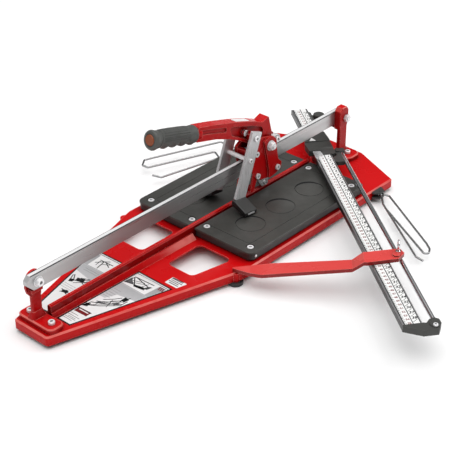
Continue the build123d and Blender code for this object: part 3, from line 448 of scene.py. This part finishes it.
# ---- mesh helpers: everything is drawn in millimetres and scaled at the end ------------------
def finish_piece(name, bm, body, look, place=None, smooth=False):
    mesh = bpy.data.meshes.new(name)
    bmesh.ops.recalc_face_normals(bm, faces=bm.faces)
    bm.to_mesh(mesh)
    bm.free()
    if place is not None:
        mesh.transform(place)
    mesh.transform(Matrix.Scale(MM, 4))
    if smooth:
        mesh.shade_smooth()
    mesh.materials.append(MATERIALS[look])
    piece = bpy.data.objects.new(name, mesh)
    bpy.context.scene.collection.objects.link(piece)
    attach(piece, body)
    return piece


def prism(bm, outline, z0, z1):
    low = [bm.verts.new((x, y, z0)) for x, y in outline]
    high = [bm.verts.new((x, y, z1)) for x, y in outline]
    bm.faces.new(reversed(low))
    bm.faces.new(high)
    for k in range(len(outline)):
        j = (k + 1) % len(outline)
        bm.faces.new((low[k], low[j], high[j], high[k]))


def stroke(bm, points, width, z0, z1, closed=False):
    """Flat line of even width through the points."""
    runs = list(zip(points, points[1:] + points[:1])) if closed else list(zip(points, points[1:]))
    for a, b in runs:
        a, b = Vector(a), Vector(b)
        along = (b - a).normalized() * (width / 2)
        side = Vector((-along.y, along.x))
        a, b = a - along, b + along
        prism(bm, [a - side, b - side, b + side, a + side], z0, z1)


def tube(bm, path, radii, sides=48):
    """Rings round a path of (centre, right, up) frames, joined; radii(i, angle) gives the radius."""
    rings = []
    for i, (centre, right, up) in enumerate(path):
        ring = []
        for k in range(sides):
            a = 2 * math.pi * k / sides
            r = radii(i, a)
            ring.append(bm.verts.new(centre + right * (r * math.sin(a)) + up * (r * math.cos(a))))
        rings.append(ring)
    for one, two in zip(rings, rings[1:]):
        for k in range(sides):
            j = (k + 1) % sides
            bm.faces.new((one[k], one[j], two[j], two[k]))
    return rings


# ---- handle grip ---------------------------------------------------------------------------
def make_grip():
    """Sleeve with a round nose collar, finger waves below and a diamond pattern on its flanks."""
    axis = (GRIP_ROOT - GRIP_END)
    length = axis.length
    axis.normalize()
    up = Vector((-axis.z, 0, axis.x))
    right = Vector((0, 1, 0))
    steps = 210
    waves = (30.0, 21.5)

    def outer(t, a):
        below = max(0.0, -math.cos(a)) ** 1.5
        above = max(0.0, math.cos(a))
        r = 14.3
        r += 2.0 * math.exp(-((t - 4) / 6.0) ** 2)
        r += 1.1 * max(0.0, min(1.0, (t - (length - 16)) / 8))
        r += above * 1.3 * math.sin(math.pi * min(1.0, t / length))
        if 14 < t < length - 12:
            r += below * (1.0 + 2.1 * math.cos((t - waves[0]) / waves[1] * 2 * math.pi))
        r += below * 1.3 * math.exp(-((t - 5) / 8.0) ** 2)
        groove = abs(t - 15.0 - 3.5 * math.cos(a))
        r -= 1.2 * math.exp(-(groove / 0.9) ** 2)
        inside = max(0.0, min(1.0, (t - 19 - 3.5 * math.cos(a)) / 2))
        inside *= max(0.0, min(1.0, (length - 20 - t) / 6))
        flank = max(0.0, min(1.0, (math.cos(a) + 0.35) / 0.25))
        cut = math.sin(t * 1.15 + a * 11) * math.sin(t * 1.15 - a * 11)
        r += inside * flank * 0.75 * cut
        nose = max(0.0, 4.5 - t)
        r -= 4.5 - math.sqrt(max(0.0, 4.5 ** 2 - nose ** 2)) if nose > 0 else 0.0
        tail = max(0.0, t - (length - 3.2 - 2.5))
        r -= 2.5 - math.sqrt(max(0.0, 2.5 ** 2 - min(2.5, tail) ** 2)) if tail > 0 else 0.0
        return r

    end = length - 3.2
    stations = [end * k / steps for k in range(steps + 1)]
    frames = [(GRIP_END + axis * t, right, up) for t in stations]
    frames += [(GRIP_END + axis * end, right, up), (GRIP_END, right, up)]
    bm = bmesh.new()

    def radius(i, a):
        if i <= steps:
            return outer(stations[i], a)
        return 9.4

    sides = 132
    rings = tube(bm, frames, radius, sides)
    for k in range(sides):
        j = (k + 1) % sides
        bm.faces.new((rings[-1][k], rings[-1][j], rings[0][j], rings[0][k]))
    piece = finish_piece("grip_sleeve", bm, "handle", "grip_rubber", smooth=True)
    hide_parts("handle_grip")


# ---- scale of the measuring bar --------------------------------------------------------------
def text_mesh(bm, text, size, x, y, z, height, slant=0.0):
    """Figures drawn across the bar, upright for someone at its near end."""
    curve = bpy.data.curves.new("figure", "FONT")
    curve.body = text
    curve.size = size
    curve.resolution_u = 2
    curve.align_x = "CENTER"
    curve.align_y = "CENTER"
    curve.extrude = height / 2
    curve.offset = 0.028 * size
    curve.shear = slant
    holder = bpy.data.objects.new("figure", curve)
    mesh = bpy.data.meshes.new_from_object(holder)
    mesh.transform(Matrix.Translation((x, y, z + height / 2)) @ Matrix.Rotation(math.radians(90), 4, "Z"))
    bm.from_mesh(mesh)
    bpy.data.objects.remove(holder)
    bpy.data.curves.remove(curve)
    bpy.data.meshes.remove(mesh)


def make_scale():
    """Millimetre lines and small figures on one strip, larger figures of a diagonal scale on the other."""
    diagonal = 10 * math.sqrt(2)   # a centimetre of tile side, along its diagonal
    zero = 34                      # where both scales count from
    foot = -11.6                   # outer end of the millimetre lines
    z0, z1 = STRIP_Z, STRIP_Z + FILM
    lines, small, large = (bmesh.new() for k in range(3))
    for low, high in ((zero, 584), (-151, -48)):
        for x in range(low, high + 1):
            k = x - zero
            reach = 3.6 if k % 10 == 0 else (2.8 if k % 5 == 0 else 1.7)
            half = 0.30 if k % 5 == 0 else 0.17
            if k % 2 == 0 or k % 5 == 0:
                prism(lines, [(x - half, foot), (x + half, foot), (x + half, foot + reach),
                              (x - half, foot + reach)], z0, z1)
        for x in range(low + 10, high + 1, 10):
            text_mesh(small, str(abs(round((x - zero) / 10))), 6.0, x, -4.0, z0, FILM)
        x = low + diagonal
        while x <= high - 4:
            text_mesh(large, str(abs(round((x - zero) / diagonal))), 8.6, x, 7.0, z0, FILM, 0.35)
            slash = x + diagonal / 2
            if slash <= high - 4:
                stroke(large, [(slash + 3.4, 2.8), (slash - 3.4, 11.4)], 0.75, z0, z1)
            x += diagonal
    finish_piece("scale_lines", lines, "bar", "black_ink", BAR)
    finish_piece("scale_small_figures", small, "bar", "red_ink", BAR)
    finish_piece("scale_large_figures", large, "bar", "black_ink", BAR)
    seams = bmesh.new()
    for y in (-12.4, 1.2, 13.0):
        for low, high in ((42, 586.5), (-153.5, -45)):
            edges = [(low, y - 0.68), (high, y - 0.68), (high, y + 0.68), (low, y + 0.68)]
            prism(seams, edges, 61.95, 63.25)
    finish_piece("scale_seams", seams, "bar", "black_ink", BAR)
    window = bmesh.new()
    glass_z = 64.3
    prism(window, [(25, -16.5), (50, -16.5), (58, -13.5), (46, -12.6), (43, -2), (26, -2)], 63.2, glass_z)
    finish_piece("angle_window", window, "bar", "plate_metal", BAR)
    marks = bmesh.new()
    for k in range(7):
        tip = -11.2 + (k % 2) * 2.4
        stroke(marks, [(28 + 3.2 * k, -15.6), (28.6 + 3.0 * k, tip)], 0.7, glass_z, glass_z + FILM)
    finish_piece("angle_marks", marks, "bar", "black_ink", BAR)


# ---- printed labels ----------------------------------------------------------------------------
def mirrored(points):
    return [(x, -y) for x, y in points]


def make_labels():
    """Generic pictograms, rules and grey fields; nothing on them can be read."""
    a, b, c = LABEL_Z, LABEL_Z + 0.05, LABEL_Z + 0.10
    grey, white, black, soft, red = (bmesh.new() for k in range(5))
    edge = [(-479, -11), (-479.5, -39), (-303, -88.5), (-301.5, -13.5)]
    for flip in (False, True):
        turn = mirrored if flip else list
        stroke(black, turn(edge), 2.8, a, b, closed=True)
        stroke(soft, turn([(-306, -14), (-307, -85)]), 1.6, a, b)
        prism(grey, turn([(-344, -13), (-308.5, -14), (-309.5, -84), (-345, -75)]), a, a + 0.03)
        prism(grey, turn([(-392, -13), (-344.4, -13), (-345.4, -74.6), (-366, -69), (-372, -34),
                          (-392, -26)]), a, a + 0.03)
        prism(white, turn([(-305, -13.5), (-307, -70), (-343, -67), (-342, -13.5)]), a, b)
    # cutter pictogram in the inset of the near label
    for points in ([(-337, -16), (-318, -20), (-333, -34), (-337, -16)],
                   [(-336, -40), (-334, -55), (-322, -61)],
                   [(-333, -38), (-331, -54), (-324, -57), (-316, -24)], [(-316, -20), (-314, -60)]):
        stroke(black, points, 1.8, b, c)
    prism(black, [(-338, -36), (-333, -33), (-329, -52), (-335, -58)], b, c)
    prism(soft, [(-338, -15), (-320, -17), (-327, -24), (-334, -34)], b, c)
    prism(soft, [(-331, -54), (-322, -57), (-320, -63), (-331, -60)], b, c)
    # long cutter sketch
    for points in ([(-427, -15), (-414, -18), (-404, -37), (-391, -56)],
                   [(-427, -15), (-413, -36), (-391, -60)], [(-396, -28), (-384, -40), (-374, -47)],
                   [(-382, -51), (-366, -58)], [(-391, -60), (-376, -61)],
                   [(-392, -40), (-380, -52)], [(-406, -23), (-396, -44)]):
        stroke(black, points, 1.7, a, b)
    prism(black, [(-430, -13), (-420, -14), (-417, -21), (-427, -22)], a, b)
    prism(soft, [(-412, -22), (-405, -26), (-400, -42), (-407, -34)], a, b)
    prism(soft, [(-396, -44), (-388, -50), (-386, -60), (-394, -54)], a, b)
    prism(black, [(-380, -50), (-368, -50), (-370, -60), (-380, -58)], a, b)
    for points in ([(-424, -18), (-400, -46)], [(-418, -27), (-404, -29)], [(-402, -30), (-380, -58)],
                   [(-408, -46), (-388, -40)], [(-399, -52), (-372, -53)]):
        stroke(black, points, 1.1, b, c)
    # dark plate with two pale rules
    prism(red, [(-437, -14), (-436, -41), (-447, -41), (-448, -14)], a, b)
    stroke(black, [(-437, -14), (-436, -41)], 1.8, b, b + 0.02)
    prism(white, [(-438.6, -18), (-438.2, -38), (-440.4, -38), (-440.8, -18)], b, c)
    for x, y0, y1 in ((-470, -12, -32), (-466, -14, -36), (-459, -13, -38), (-454, -12, -30),
                      (-463, -18, -34)):
        stroke(soft, [(x, y0), (x, y1)], 0.9, a, b)
    # short grey rules under the inset, small marks at the wide end
    for x in (-362, -368, -374, -380, -386):
        stroke(soft, [(x, -16), (x - 0.5, -32)], 0.45, a + 0.03, b)
    for y in (-72, -76, -80):
        stroke(red, [(-311, y), (-318, y - 2)], 2.2, b, c)
    for points in ([(-331, -26), (-321, -50)], [(-326, -24), (-319, -44)], [(-336, -46), (-318, -52)]):
        stroke(black, points, 1.2, b, c)
    # far label
    for points in ([(-340, 47), (-319, 52), (-313, 44)], [(-330, 62), (-319, 52), (-318, 32)],
                   [(-319, 60), (-319, 47), (-326, 34)]):
        stroke(black, points, 1.7, b, c)
    for points in ([(-396, 52), (-386, 46), (-374, 28)], [(-378, 60), (-390, 50), (-384, 30), (-374, 24)],
                   [(-387, 33), (-392, 20)], [(-427, 42), (-418, 36), (-424, 24)],
                   [(-420, 45), (-426, 29)],
                   [(-392, 56), (-380, 62)]):
        stroke(soft, points, 2.0, a, b)
    prism(black, [(-398, 55), (-390, 58), (-388, 50), (-395, 48)], a, b)
    prism(black, [(-390, 47), (-381, 50), (-376, 36), (-385, 32)], b, c)
    prism(black, [(-427, 40), (-420, 43), (-417, 32), (-424, 29)], b, c)
    for points in ([(-334, 56), (-322, 58)], [(-328, 50), (-320, 38)], [(-396, 44), (-380, 28)],
                   [(-378, 44), (-372, 30)]):
        stroke(black, points, 1.4, b, c)
    for x in (-352, -357, -404, -409, -414):
        stroke(soft, [(x, 62), (x, 30)], 0.5, a + 0.03, b)
    # small plate label beside the pad
    for x, y0, y1 in ((-278, -68, -90), (-282, -70, -92), (-286, -68, -88), (-290, -72, -90)):
        stroke(soft, [(x, y0), (x, y1)], 1.9, a, b)
    stroke(black, [(-276.5, -68), (-275.5, -90)], 1.6, a, b)
    finish_piece("label_grey_fields", grey, "frame", "grey_print")
    finish_piece("label_white_insets", white, "frame", "label")
    finish_piece("label_black_lines", black, "frame", "black_ink")
    finish_piece("label_soft_lines", soft, "frame", "soft_ink")
    finish_piece("label_red_marks", red, "frame", "red_ink")


# ---- small fittings ---------------------------------------------------------------------------
def make_rivets():
    """Domed rivet low on the outer corner of each pad tray."""
    tray_wall = 134.9
    for name, body, side in (("near_tray_rivet", "near_pad", -1), ("far_tray_rivet", "far_pad", 1)):
        bm = bmesh.new()
        path = []
        for reach in (-0.6, 0.3, 0.8, 1.05):
            centre = Vector((-146, side * (tray_wall + reach), 33.5))
            path.append((centre, Vector((1, 0, 0)), Vector((0, 0, 1))))
        sizes = (2.6, 2.6, 1.9, 0.7)
        rings = tube(bm, path, lambda i, a: sizes[i], 20)
        bm.faces.new(reversed(rings[0]))
        bm.faces.new(rings[-1])
        finish_piece(name, bm, body, "head_zinc", smooth=True)


def make_shoe_lips():
    """Pale wear strip let into the end face of each shoe."""
    shoe_x, shoe_z = -64.5, 44.9
    tilt = math.radians(7.5)
    turned = []
    for x, z in ((-8, 1.4), (9, 1.4), (9, 4.6), (-8, 4.6)):
        turned.append((shoe_x + x * math.cos(tilt) + z * math.sin(tilt),
                       shoe_z - x * math.sin(tilt) + z * math.cos(tilt)))
    for name, side, reach in (("near_shoe_lip", -1, 53.0), ("far_shoe_lip", 1, 62.0)):
        bm = bmesh.new()
        low = [bm.verts.new((x, side * (reach - 0.5), z)) for x, z in turned]
        high = [bm.verts.new((x, side * (reach + 0.35), z)) for x, z in turned]
        bm.faces.new(reversed(low))
        bm.faces.new(high)
        for k in range(4):
            j = (k + 1) % 4
            bm.faces.new((low[k], low[j], high[j], high[k]))
        finish_piece(name, bm, "breaker", "plate_metal")


def make_mat_arcs():
    """Painted shade: black crescents inside the far side of the rings moulded in the mats, where the
    shallow ring dishes fall into shade.
    """
    ring_y = 69
    steps = 26
    angles = [math.radians(-28 + 160 * k / steps) for k in range(steps + 1)]
    for name, body, side in (("near_mat_shade_arcs", "near_pad", -1), ("far_mat_shade_arcs", "far_pad", 1)):
        bm = bmesh.new()
        y = side * ring_y
        for x in (-84, -3.5, 78):
            outer = [(x + 26.6 * math.cos(a), y + 26.6 * math.sin(a)) for a in angles]
            inner = []
            for k, a in enumerate(angles):
                r = 26.4 - 4.6 * math.sin(math.pi * k / steps)
                inner.append((x + r * math.cos(a), y + r * math.sin(a)))
            for k in range(steps):
                prism(bm, [outer[k], outer[k + 1], inner[k + 1], inner[k]], PAD_Z - 0.1, PAD_Z + 2 * FILM)
        bmesh.ops.remove_doubles(bm, verts=bm.verts, dist=0.001)
        finish_piece(name, bm, body, "black_ink")


make_camera()
make_stage()
make_materials()
dress_nodes()
make_grip()
make_rivets()
make_shoe_lips()
make_mat_arcs()
make_scale()
make_labels()
